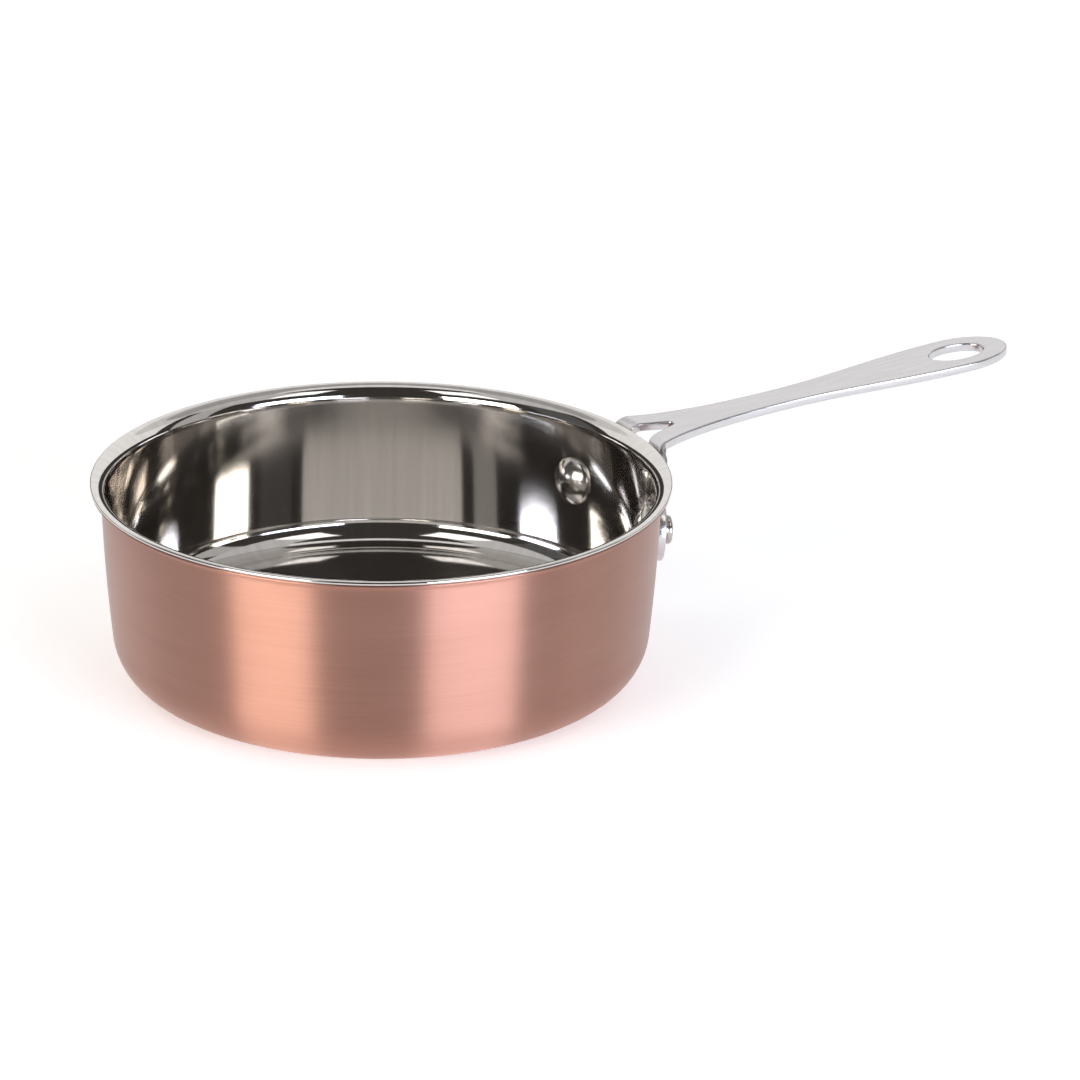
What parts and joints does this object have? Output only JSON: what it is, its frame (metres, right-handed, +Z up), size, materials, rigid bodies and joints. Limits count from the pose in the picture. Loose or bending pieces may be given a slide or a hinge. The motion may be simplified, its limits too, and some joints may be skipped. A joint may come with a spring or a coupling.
{
  "type": "small serving pan",
  "caption": "Small round serving pan with a copper outside, a polished steel inside, a flared lip and a riveted wishbone handle with a hanging hole.",
  "frame": {"origin": "centre of the flat underside of the base", "axes": "+X from the pan's axis along the handle towards its tip, +Z up through the open mouth, +Y to the left of someone who looks along the handle from the pan"},
  "size_m": [0.2221, 0.127, 0.0534],
  "materials": {
    "polished_steel": "mirror polished stainless steel",
    "brushed_copper": "copper, brushed round the body to a satin",
    "rolled_aluminium": "plain rolled aluminium",
    "satin_steel": "satin stainless steel"
  },
  "bodies": {
    "root": {"steel_liner": "polished_steel", "base_core": "rolled_aluminium", "copper_shell": "brushed_copper", "handle": "satin_steel", "rivet_right": "satin_steel", "rivet_left": "satin_steel"}
  },
  "joints": []
}
